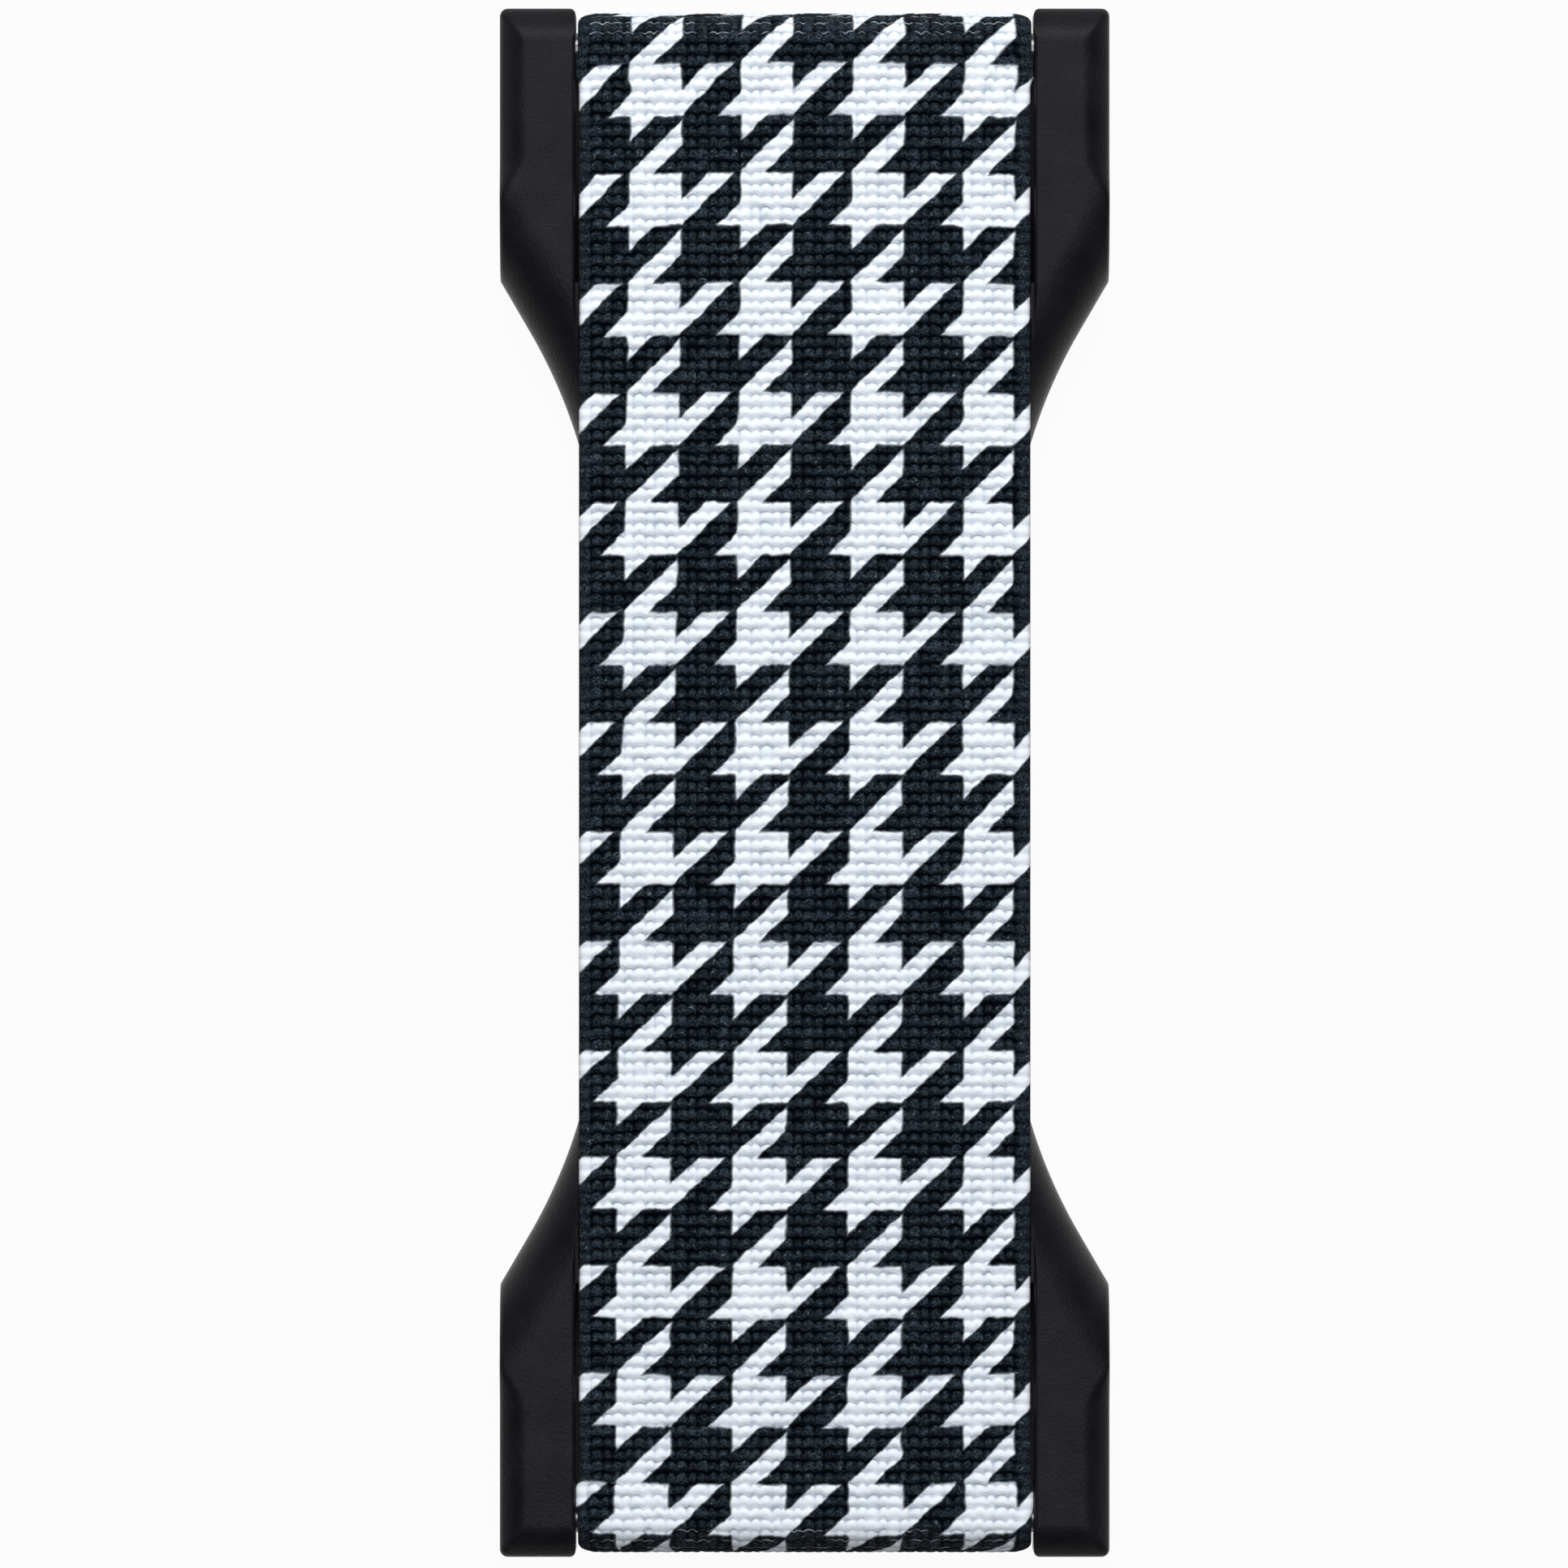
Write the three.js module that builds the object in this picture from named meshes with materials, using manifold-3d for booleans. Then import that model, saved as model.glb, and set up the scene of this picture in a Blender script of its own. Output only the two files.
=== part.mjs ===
// Phone finger strap: a black moulded base that sticks to the back of a phone,
// and a taut band of woven elastic that runs over it from end to end.
// X is across the band, Y along it, Z up from the phone. Millimetres.
// The origin is at the middle of the adhesive face, which lies at Z = 0.

import * as THREE from 'three';
import { mergeVertices } from 'three/addons/utils/BufferGeometryUtils.js';
import Module from 'manifold-3d';

const wasm = await Module();
wasm.setup();

// Base moulding, in plan
const overallLength = 96.8;
const overallWidth = 38.1;
const waistWidth = 25.6;
const lugLength = 17.0;
const taperStraight = 3.6;
const taperRadius = 32.5;
const cornerRadius = 0.5;

// Base moulding, in height
const waistFloor = 1.2;
const lugRise = 0.3;
const webGap = 0.35;
const shoulderWidth = 3.8;
const sideRound = 1.5;
const endRound = 1.7;
const roundFadeStart = 4.3;
const roundFadeLength = 3.5;

// Elastic band
const strapWidth = 28.2;
const strapThickness = 1.1;
const strapInset = 0.35;
const ribPitch = 0.73;
const ribDepth = 0.2;

// Steel parts
const pinRadius = 1.0;
const pinGrip = 2.3;
const clipLength = 4.0;
const clipSheet = 0.4;
const clipSetback = 0.5;

// Closing plate, its pegs and the adhesive pad
const padThickness = 0.8;
const padInset = 0.4;
const plateThickness = 0.8;
const rimWidth = 1.2;
const pegRadius = 0.8;
const pegEdge = 2.4;

// Webs and walls around the band's ends
const webWidth = 1.4;
const pocketWall = 0.9;
const rampLength = 10.0;

// How finely the round stretches are divided
const arcSteps = 9;
const shoulderSteps = 8;
const outlineSteps = 6;
const pinSides = 24;
const pegSides = 16;
const ribCorners = 4;
const edgeColumns = [0, 0.04, 0.12, 0.24, 0.38, 0.52, 0.66, 0.8, 0.92, 1];
const fadeRows = [0.12, 0.4, 1];
const endRows = [1, 0.65, 0.4, 0.22, 0.1, 0.03, 0];

// Clearances
const sideGap = 0.22;
const runGap = 0.1;
const slideFit = 0.05;
const plateFit = 0.15;
const webToPin = 0.5;
const cutMargin = 1.0;

// Heights
const padTop = padThickness;
const plateTop = padTop + plateThickness;
const waistTop = plateTop + waistFloor;
const barTop = plateTop + clipSheet;
const returnBottom = barTop + 2 * slideFit;
const returnMiddle = returnBottom + strapThickness / 2;
const slotTop = returnBottom + strapThickness + runGap;
const clipTop = returnBottom + strapThickness + slideFit + clipSheet;
const pocketTop = clipTop + runGap;
const bendRadius = pinRadius + slideFit + strapThickness / 2;
const wrapRadius = pinRadius + slideFit + strapThickness;
const pinHeight = returnMiddle + bendRadius;
const webTop = pinHeight + pinRadius + slideFit - webGap;
const lugTop = pinHeight + wrapRadius + lugRise;

// Places along Y, from the middle to one end
const endY = overallLength / 2;
const taperY = endY - lugLength;
const pinY = endY - strapInset - wrapRadius;
const webY = pinY - pinRadius - slideFit - webToPin;
const stepY = webY - webWidth;
const clipY = stepY - runGap;
const tailY = clipY - clipLength;
const pocketY = tailY - runGap;
const rampTopY = pocketY - pocketWall;
const rampFootY = rampTopY - rampLength;

// Places along X
const halfWidth = overallWidth / 2;
const waistHalf = waistWidth / 2;
const channelHalf = strapWidth / 2 + sideGap;
const pinLength = 2 * (channelHalf + pinGrip);

// The taper leaves the lug as a straight line and meets the waist in a round
const taperDrop = halfWidth - waistHalf;
const taperReach = Math.hypot(taperRadius, taperStraight);
const taperAngle = Math.acos((taperRadius - taperDrop) / taperReach) - Math.atan2(taperStraight, taperRadius);
const arcY = taperY - taperStraight * Math.cos(taperAngle);
const waistY = arcY - taperRadius * Math.sin(taperAngle);

const blackPlastic = new THREE.MeshStandardMaterial({ color: '#242327', roughness: 0.55, metalness: 0 });
const platePlastic = new THREE.MeshStandardMaterial({ color: '#2e2d31', roughness: 0.7, metalness: 0 });
const foam = new THREE.MeshStandardMaterial({ color: '#4a4a4d', roughness: 0.95, metalness: 0 });
const elastic = new THREE.MeshStandardMaterial({ color: '#59606a', roughness: 0.9, metalness: 0 });
const steel = new THREE.MeshStandardMaterial({ color: '#a9abad', roughness: 0.3, metalness: 1 });

const group = new THREE.Group();

function addPart(name, geometry, material) {
  const mesh = new THREE.Mesh(geometry, material);
  mesh.name = name;
  group.add(mesh);
  return mesh;
}

function bare(geometry) {
  const copy = geometry.clone();
  copy.deleteAttribute('normal');
  copy.deleteAttribute('uv');
  return mergeVertices(copy, 1e-4);
}

function toSolid(geometry) {
  const merged = bare(geometry);
  const vertProperties = new Float32Array(merged.attributes.position.array);
  const triVerts = new Uint32Array(merged.index.array);
  return new wasm.Manifold(new wasm.Mesh({ numProp: 3, vertProperties, triVerts }));
}

function toGeometry(solid) {
  const mesh = solid.getMesh();
  const geometry = new THREE.BufferGeometry();
  geometry.setAttribute('position', new THREE.BufferAttribute(mesh.vertProperties, 3));
  geometry.setIndex(new THREE.BufferAttribute(mesh.triVerts, 1));
  geometry.computeVertexNormals();
  return geometry;
}

// A block between any two opposite corners, whichever of them is the lower
function block(first, second) {
  const low = first.clone().min(second);
  const high = first.clone().max(second);
  const size = new THREE.Vector3().subVectors(high, low);
  const middle = new THREE.Vector3().addVectors(low, high).multiplyScalar(0.5);
  const geometry = new THREE.BoxGeometry(size.x, size.y, size.z);
  return geometry.translate(middle.x, middle.y, middle.z);
}

// A flat outline in plan, raised from one height to another
function upright(shape, bottom, top, curveSegments = arcSteps) {
  const geometry = new THREE.ExtrudeGeometry(shape, {
    depth: top - bottom,
    bevelEnabled: false,
    curveSegments,
  });
  return geometry.translate(0, 0, bottom);
}

// A side view in Y and Z, stretched across X and centred on it
function across(shape, width, curveSegments = arcSteps) {
  const geometry = new THREE.ExtrudeGeometry(shape, {
    depth: width,
    bevelEnabled: false,
    curveSegments,
  });
  geometry.translate(0, 0, -width / 2);
  const yAxis = new THREE.Vector3(0, 1, 0);
  const zAxis = new THREE.Vector3(0, 0, 1);
  const xAxis = new THREE.Vector3(1, 0, 0);
  return geometry.applyMatrix4(new THREE.Matrix4().makeBasis(yAxis, zAxis, xAxis));
}

// Half the width of the base at a distance from its middle
function halfWidthAt(y) {
  const along = Math.abs(y);
  if (along <= waistY) {
    return waistHalf;
  }
  if (along <= arcY) {
    return waistHalf + taperRadius - Math.sqrt(taperRadius ** 2 - (along - waistY) ** 2);
  }
  if (along <= taperY) {
    return halfWidth - (taperY - along) * Math.tan(taperAngle);
  }
  const intoCorner = THREE.MathUtils.clamp(along - (endY - cornerRadius), 0, cornerRadius);
  return halfWidth - cornerRadius + Math.sqrt(cornerRadius ** 2 - intoCorner ** 2);
}

// How far a point lies inside the taper, whose line runs on past the lug's start
function insideTaper(x, y) {
  const along = Math.abs(y);
  const edge = along <= taperY ? halfWidthAt(y) : halfWidth + (along - taperY) * Math.tan(taperAngle);
  const lean = THREE.MathUtils.clamp((along - waistY) / taperRadius, 0, 1);
  const tilt = Math.min(taperAngle, Math.asin(lean));
  return (edge - Math.abs(x)) * Math.cos(tilt);
}

// How far a rounded edge falls below the top at a distance from the wall
function roundDrop(distance, radius) {
  const inward = Math.max(0, radius - distance);
  return radius - Math.sqrt(Math.max(0, radius ** 2 - inward ** 2));
}

// The lug comes down to the taper in one broad round, from its top to the waist's
function shoulderAt(x, y) {
  const inward = 1 - THREE.MathUtils.clamp(insideTaper(x, y) / shoulderWidth, 0, 1);
  return waistTop + (lugTop - waistTop) * Math.sqrt(1 - inward ** 2);
}

// The lug's outer edge is round, and the round dies out before the taper
function sideRoundAt(y) {
  const along = Math.abs(y) - taperY - roundFadeStart;
  const faded = THREE.MathUtils.clamp(1 - along / roundFadeLength, 0, 1);
  return sideRound * Math.sqrt(1 - faded ** 2);
}

// Height of the moulding's upper face before its channel is cut
function topAt(x, y) {
  const side = lugTop - roundDrop(halfWidthAt(y) - Math.abs(x), sideRoundAt(y));
  const end = lugTop - roundDrop(endY - Math.abs(y), endRound);
  return Math.min(shoulderAt(x, y), side, end);
}

// Rows of the upper face, from the middle to one end
function rowPlaces() {
  const rows = [0, waistY];
  for (let i = 1; i <= arcSteps; i += 1) {
    rows.push(waistY + ((arcY - waistY) * i) / arcSteps);
  }
  rows.push((arcY + taperY) / 2, taperY);
  const fadeFoot = taperY + roundFadeStart;
  for (let i = 1; i <= shoulderSteps; i += 1) {
    rows.push(taperY + (roundFadeStart * i) / shoulderSteps);
  }
  for (const share of fadeRows) {
    rows.push(fadeFoot + roundFadeLength * share);
  }
  for (const share of endRows) {
    rows.push(endY - endRound * share);
  }
  return rows;
}

// The moulding as a finely divided block, each corner moved to its place
function mouldedBlock() {
  const rows = rowPlaces();
  const rowCount = 2 * (rows.length - 1);
  const columnCount = 2 * edgeColumns.length;
  const geometry = bare(new THREE.BoxGeometry(1, 1, 1, columnCount, rowCount, 1));
  const position = geometry.attributes.position;
  const columnSpan = shoulderWidth / Math.cos(taperAngle);
  for (let i = 0; i < position.count; i += 1) {
    const row = Math.round((position.getY(i) + 0.5) * rowCount) - (rows.length - 1);
    const column = Math.round((position.getX(i) + 0.5) * columnCount) - edgeColumns.length;
    const y = Math.sign(row) * rows[Math.abs(row)];
    const edge = halfWidthAt(y);
    const fromEdge = edgeColumns[edgeColumns.length - Math.abs(column)] * columnSpan;
    const x = column === 0 ? 0 : Math.sign(column) * (edge - fromEdge);
    const z = position.getZ(i) > 0 ? topAt(x, y) : padTop;
    position.setXYZ(i, x, y, z);
  }
  return geometry;
}

// Everything above the waist and the webs, between the lugs, and the open ends
function channelShape() {
  const side = new THREE.Shape();
  const far = endY + cutMargin;
  const high = lugTop + cutMargin;
  const rampMiddle = (rampTopY + rampFootY) / 2;
  side.moveTo(far, -cutMargin);
  side.lineTo(far, high);
  side.lineTo(-far, high);
  side.lineTo(-far, -cutMargin);
  side.lineTo(-webY, -cutMargin);
  side.lineTo(-webY, webTop);
  side.lineTo(-rampTopY, webTop);
  side.bezierCurveTo(-rampMiddle, webTop, -rampMiddle, waistTop, -rampFootY, waistTop);
  side.lineTo(rampFootY, waistTop);
  side.bezierCurveTo(rampMiddle, waistTop, rampMiddle, webTop, rampTopY, webTop);
  side.lineTo(webY, webTop);
  side.lineTo(webY, -cutMargin);
  return side;
}

// The base's outline in plan, drawn in by an inset, with or without its end notches
function baseOutline(inset, notchHalf) {
  const reach = endY - inset;
  const right = [];
  for (let i = 0; i <= outlineSteps; i += 1) {
    const y = waistY + ((arcY - waistY) * i) / outlineSteps;
    right.push([halfWidthAt(y) - inset, y]);
  }
  right.push([halfWidth - inset, taperY]);
  right.push([halfWidth - inset, reach]);
  if (notchHalf > 0) {
    right.push([notchHalf, reach], [notchHalf, webY]);
  }
  const turned = right.map(([x, y]) => [-x, y]).reverse();
  const upper = [...right, ...turned];
  const lower = upper.map(([x, y]) => [-x, -y]);
  return new THREE.Shape([...upper, ...lower].map(([x, y]) => new THREE.Vector2(x, y)));
}

// The slot that a pin drops into from below, as a side view
function pinSlotShape(end) {
  const radius = pinRadius + slideFit;
  const side = new THREE.Shape();
  side.moveTo(end * pinY - radius, padTop - cutMargin);
  side.lineTo(end * pinY + radius, padTop - cutMargin);
  side.lineTo(end * pinY + radius, pinHeight);
  side.absarc(end * pinY, pinHeight, radius, 0, Math.PI, false);
  return side;
}

// Pegs of the moulding that pass through the plate and hold it, clear of the pockets
function pegPlaces() {
  const places = [];
  for (const y of [waistY, pocketY - pegEdge]) {
    const x = halfWidthAt(y) - rimWidth - pegEdge;
    places.push([x, y], [-x, y], [x, -y], [-x, -y]);
  }
  return places;
}

function bodyGeometry() {
  let solid = toSolid(mouldedBlock());
  solid = solid.subtract(toSolid(across(channelShape(), 2 * channelHalf, arcSteps)));
  solid = solid.subtract(toSolid(upright(baseOutline(rimWidth, 0), padTop - cutMargin, plateTop)));
  for (const end of [-1, 1]) {
    const slotStart = new THREE.Vector3(-channelHalf, end * (webY + cutMargin), padTop);
    const slotEnd = new THREE.Vector3(channelHalf, end * (stepY - slideFit), slotTop);
    const pocketStart = new THREE.Vector3(-channelHalf, end * stepY, padTop);
    const pocketEnd = new THREE.Vector3(channelHalf, end * pocketY, pocketTop);
    solid = solid.subtract(toSolid(block(slotStart, slotEnd)));
    solid = solid.subtract(toSolid(block(pocketStart, pocketEnd)));
    solid = solid.subtract(toSolid(across(pinSlotShape(end), pinLength + 2 * slideFit, pinSides / 4)));
  }
  for (const [x, y] of pegPlaces()) {
    const peg = new THREE.Shape().absarc(x, y, pegRadius, 0, 2 * Math.PI, false);
    solid = solid.add(toSolid(upright(peg, padTop, plateTop + slideFit, pegSides / 2)));
  }
  return toGeometry(solid);
}

function plateGeometry() {
  const shape = baseOutline(rimWidth + plateFit, channelHalf + plateFit);
  for (const [x, y] of pegPlaces()) {
    shape.holes.push(new THREE.Path().absarc(x, y, pegRadius + plateFit, 0, 2 * Math.PI, true));
  }
  let solid = toSolid(upright(shape, padTop, plateTop, pegSides / 2));
  for (const end of [-1, 1]) {
    const start = new THREE.Vector3(-channelHalf + plateFit, end * (stepY + slideFit), plateTop - slideFit);
    const finish = new THREE.Vector3(channelHalf - plateFit, end * (webY - slideFit), barTop);
    solid = solid.add(toSolid(block(start, finish)));
  }
  return toGeometry(solid);
}

function padGeometry() {
  return bare(upright(baseOutline(padInset, channelHalf + padInset), 0, padTop));
}

// A point on the band's outer face, and the way out of it, along the loop
function loopPoint(travel) {
  const bend = Math.PI * wrapRadius;
  const flat = 2 * pinY;
  if (travel <= bend) {
    const angle = travel / wrapRadius - Math.PI / 2;
    const out = new THREE.Vector2(Math.cos(angle), Math.sin(angle));
    return { centre: new THREE.Vector2(pinY, pinHeight), out };
  }
  if (travel <= bend + flat) {
    return { centre: new THREE.Vector2(pinY - (travel - bend), pinHeight), out: new THREE.Vector2(0, 1) };
  }
  const angle = (travel - bend - flat) / wrapRadius + Math.PI / 2;
  const out = new THREE.Vector2(Math.cos(angle), Math.sin(angle));
  return { centre: new THREE.Vector2(-pinY, pinHeight), out };
}

// The band from tail to tail: woven ribs outside, smooth inside
function strapShape() {
  const tail = tailY + clipSheet + slideFit;
  const innerRadius = pinRadius + slideFit;
  const length = 2 * Math.PI * wrapRadius + 2 * pinY;
  const ribs = Math.round(length / ribPitch);
  const steps = ribs * ribCorners;
  const points = [new THREE.Vector2(tail, returnBottom)];
  for (let i = 0; i <= steps; i += 1) {
    const { centre, out } = loopPoint((length * i) / steps);
    const valley = ribDepth * (1 - Math.abs(Math.sin((Math.PI * i) / ribCorners)));
    points.push(centre.clone().addScaledVector(out, wrapRadius - valley));
  }
  points.push(new THREE.Vector2(-tail, returnBottom));
  points.push(new THREE.Vector2(-tail, returnBottom + strapThickness));
  for (const [y, start] of [[-pinY, -Math.PI / 2], [pinY, Math.PI / 2]]) {
    for (let i = 0; i <= pinSides / 2; i += 1) {
      const angle = start - (2 * Math.PI * i) / pinSides;
      const rise = innerRadius * Math.sin(angle);
      points.push(new THREE.Vector2(y + innerRadius * Math.cos(angle), pinHeight + rise));
    }
  }
  points.push(new THREE.Vector2(tail, returnBottom + strapThickness));
  return new THREE.Shape(points);
}

// Folded steel sheet, closed towards the middle, squeezed on the band's tail
function clipShape(end) {
  const bottom = plateTop + slideFit;
  const mouth = end * clipY;
  const back = end * tailY;
  const fold = end * (tailY + clipSheet);
  const points = [
    [mouth, bottom],
    [back, bottom],
    [back, clipTop],
    [mouth, clipTop],
    [mouth, clipTop - clipSheet],
    [fold, clipTop - clipSheet],
    [fold, bottom + clipSheet],
    [mouth, bottom + clipSheet],
  ];
  return new THREE.Shape(points.map(([y, z]) => new THREE.Vector2(y, z)));
}

function pinGeometry(end) {
  const geometry = new THREE.CylinderGeometry(pinRadius, pinRadius, pinLength, pinSides);
  geometry.rotateZ(Math.PI / 2);
  return geometry.translate(0, end * pinY, pinHeight);
}

addPart('base', bodyGeometry(), blackPlastic);
addPart('closing_plate', plateGeometry(), platePlastic);
addPart('adhesive_pad', padGeometry(), foam);
addPart('strap', bare(across(strapShape(), strapWidth)), elastic);
for (const [end, place] of [[1, 'top'], [-1, 'bottom']]) {
  addPart(`pin_${place}`, pinGeometry(end), steel);
  addPart(`end_clip_${place}`, across(clipShape(end), strapWidth - 2 * clipSetback), steel);
}

export default group;
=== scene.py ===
# %% [markdown]
# # A phone finger strap
#
# A black moulded base sticks to the back of a phone, and a taut band of woven elastic runs over it from
# end to end. This lesson dresses the CAD model of it: each cell makes one piece or one finish in the
# CAD model's own frame. X is across the band, Y along it, and Z up from the phone. The object's sizes are
# written in millimetres, and MM turns them into the frame's metres.

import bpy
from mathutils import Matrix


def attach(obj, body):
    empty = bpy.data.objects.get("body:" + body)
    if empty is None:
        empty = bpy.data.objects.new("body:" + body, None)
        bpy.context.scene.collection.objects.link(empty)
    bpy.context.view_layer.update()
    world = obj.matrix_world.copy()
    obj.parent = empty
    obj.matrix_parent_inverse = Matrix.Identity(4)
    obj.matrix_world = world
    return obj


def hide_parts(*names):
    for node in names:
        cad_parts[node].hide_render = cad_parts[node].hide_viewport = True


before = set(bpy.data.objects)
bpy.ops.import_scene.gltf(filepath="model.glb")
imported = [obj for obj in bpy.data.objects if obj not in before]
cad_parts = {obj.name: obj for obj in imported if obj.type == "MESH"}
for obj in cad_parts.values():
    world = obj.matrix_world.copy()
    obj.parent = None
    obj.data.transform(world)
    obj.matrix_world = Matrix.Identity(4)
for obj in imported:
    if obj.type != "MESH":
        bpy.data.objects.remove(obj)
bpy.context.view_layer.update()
print("CAD nodes:", sorted(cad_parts))

# %% Tools of the lesson
import math

import bpy
from mathutils import Vector, noise

MM = 0.001
scene = bpy.context.scene
scene.view_settings.view_transform = "Standard"
print("view transform:", scene.view_settings.view_transform)

# %% [markdown]
# ## The camera
#
# The photograph is square on, with no vanishing lines to see, so the camera stands far off and looks
# straight down through a long lens. An orthographic camera would do as well, but a long lens keeps the
# little bit of wall that shows beside the band. The frame is 98 mm across at the height of the lugs'
# walls, and the object stands a little to the right of its middle.

# %% The camera
frame_width = 98.01 * MM
camera_distance = 0.9
wall_height = 5.2 * MM
camera_x = -1.29 * MM
camera_y = -0.08 * MM
camera_data = bpy.data.cameras.new("front_camera")
camera = bpy.data.objects.new("front_camera", camera_data)
scene.collection.objects.link(camera)
camera.location = (camera_x, camera_y, wall_height + camera_distance)
camera.rotation_euler = (0.0, 0.0, 0.0)
camera_data.sensor_width = 36.0
camera_data.lens = 36.0 * camera_distance / frame_width
camera_data.clip_start = 0.01
camera_data.clip_end = 20.0
scene.camera = camera
print("lens:", round(camera_data.lens), "mm")

# %% [markdown]
# ## The floor and the light
#
# The floor is pale and plain. To the camera and in reflections most of its brightness is a flat white, and
# the rest is real light, so that the background is white and a soft shadow still shows round the object.
# The light is a dim world, a large soft lamp above, and a key lamp beyond the band's upper end, where the
# real one was lit from: it makes the lugs' upper ends lighter than the lower ones and shades the weave.

# %% Floor
floor_size = 4.0
floor_depth = 0.05 * MM
floor_grey = 0.50
flat_white_share = 0.95
bpy.ops.object.select_all(action="DESELECT")
bpy.ops.mesh.primitive_plane_add(size=floor_size, location=(0.0, 0.0, -floor_depth))
floor = bpy.context.object
floor.name = "studio_floor"
floor_finish = bpy.data.materials.new("studio_floor_paint")
floor_finish.use_nodes = True
floor_tree = floor_finish.node_tree
floor_tree.nodes.clear()
floor_out = floor_tree.nodes.new("ShaderNodeOutputMaterial")
floor_paint = floor_tree.nodes.new("ShaderNodeBsdfDiffuse")
floor_paint.inputs["Color"].default_value = (floor_grey, floor_grey, floor_grey, 1.0)
floor_white = floor_tree.nodes.new("ShaderNodeEmission")
floor_white.inputs["Color"].default_value = (1.0, 1.0, 1.0, 1.0)
floor_white.inputs["Strength"].default_value = 1.0
floor_rays = floor_tree.nodes.new("ShaderNodeLightPath")
floor_seen = floor_rays.outputs["Is Camera Ray"]
for other_ray in ("Is Glossy Ray", "Is Transmission Ray"):
    either_ray = floor_tree.nodes.new("ShaderNodeMath")
    either_ray.operation = "MAXIMUM"
    floor_tree.links.new(floor_seen, either_ray.inputs[0])
    floor_tree.links.new(floor_rays.outputs[other_ray], either_ray.inputs[1])
    floor_seen = either_ray.outputs[0]
floor_share = floor_tree.nodes.new("ShaderNodeMath")
floor_share.operation = "MULTIPLY"
floor_share.inputs[1].default_value = flat_white_share
floor_mix = floor_tree.nodes.new("ShaderNodeMixShader")
floor_tree.links.new(floor_seen, floor_share.inputs[0])
floor_tree.links.new(floor_share.outputs[0], floor_mix.inputs["Fac"])
floor_tree.links.new(floor_paint.outputs[0], floor_mix.inputs[1])
floor_tree.links.new(floor_white.outputs[0], floor_mix.inputs[2])
floor_tree.links.new(floor_mix.outputs[0], floor_out.inputs["Surface"])
floor.data.materials.append(floor_finish)
print("floor:", floor.name)


# %% Lamps and world
def soft_lamp(name, place, aim, size, power):
    lamp_data = bpy.data.lights.new(name, "AREA")
    lamp_data.shape = "SQUARE"
    lamp_data.size = size
    lamp_data.energy = power
    lamp = bpy.data.objects.new(name, lamp_data)
    lamp.location = place
    towards = Vector(aim) - Vector(place)
    lamp.rotation_euler = towards.to_track_quat("-Z", "Y").to_euler()
    scene.collection.objects.link(lamp)
    return lamp


middle = (0.0, 0.0, 0.0)
world_strength = 0.05
key_lamp = soft_lamp("key_lamp", place=(0.0, 0.42, 0.42), aim=middle, size=0.26, power=2.95)
top_lamp = soft_lamp("top_lamp", place=(0.0, 0.04, 1.00), aim=middle, size=0.42, power=4.35)
studio = bpy.data.worlds.new("studio")
studio.use_nodes = True
scene.world = studio
studio_light = studio.node_tree.nodes["Background"]
studio_light.inputs["Color"].default_value = (1.0, 1.0, 1.0, 1.0)
studio_light.inputs["Strength"].default_value = world_strength
print("lamps:", key_lamp.name, top_lamp.name)

# %% [markdown]
# ## The sizes of the moulding
#
# These are the CAD model's own measures, in millimetres, so that each piece made here sits where its
# solid does. Two things are finer here than in the solids: the curves at the lugs' edges, and the channel,
# which is closer to the band beside the waist and the tapers.

# %% Sizes of the base
lug_end = 48.4
half_width = 19.05
waist_half = 12.8
taper_start = 31.4
taper_straight = 3.6
taper_radius = 32.5
corner_radius = 0.5
pad_top = 0.8
plate_top = 1.6
waist_top = 2.8
web_top = 4.95
lug_top = 6.7
shoulder_width = 3.8
side_slope = 1.75
side_fall = 1.2
end_slope = 2.2
end_fall = 1.4
rim_round = 0.25
fade_start = 4.3
fade_length = 3.5
channel_half = 14.32
taper_drop = half_width - waist_half
taper_reach = math.hypot(taper_radius, taper_straight)
taper_angle = math.acos((taper_radius - taper_drop) / taper_reach) - math.atan2(taper_straight, taper_radius)
arc_end = taper_start - taper_straight * math.cos(taper_angle)
waist_end = arc_end - taper_radius * math.sin(taper_angle)
print("taper angle:", round(math.degrees(taper_angle), 1), "degrees; straight waist to", round(waist_end, 2))

# %% Sizes of the band and its pins
band_half = 14.1
band_thickness = 1.1
pin_y = 45.9
pin_height = 4.25
pin_radius = 1.0
pin_half = 16.62
wrap_radius = 2.15
tail_start = 39.3
row_pitch = 0.73
web_y = 44.35
step_y = 42.95
pocket_y = 38.75
slot_near = 42.9
slot_far = 45.35
slot_top = 3.3
pocket_top = 3.75
ramp_top = 37.85
ramp_foot = 27.85
print("band:", 2 * band_half, "mm wide,", band_thickness, "mm thick")


# %% [markdown]
# ## Shape of the moulding's upper face
#
# The waist is low, and each lug comes down to its taper in one broad round. The lug's outer edge and its
# end fall away in a shorter curve that ends in a small round at the rim, and the curve on the edge dies out
# before the taper. A bevel can't make an edge that fades like that, so the height is worked out for each
# point of a fine grid.

# %% Outline and height of the moulding
def half_width_at(y):
    along = abs(y)
    if along <= waist_end:
        return waist_half
    if along <= arc_end:
        return waist_half + taper_radius - math.sqrt(taper_radius ** 2 - (along - waist_end) ** 2)
    if along <= taper_start:
        return half_width - (taper_start - along) * math.tan(taper_angle)
    into_corner = min(max(along - (lug_end - corner_radius), 0.0), corner_radius)
    return half_width - corner_radius + math.sqrt(corner_radius ** 2 - into_corner ** 2)


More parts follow.
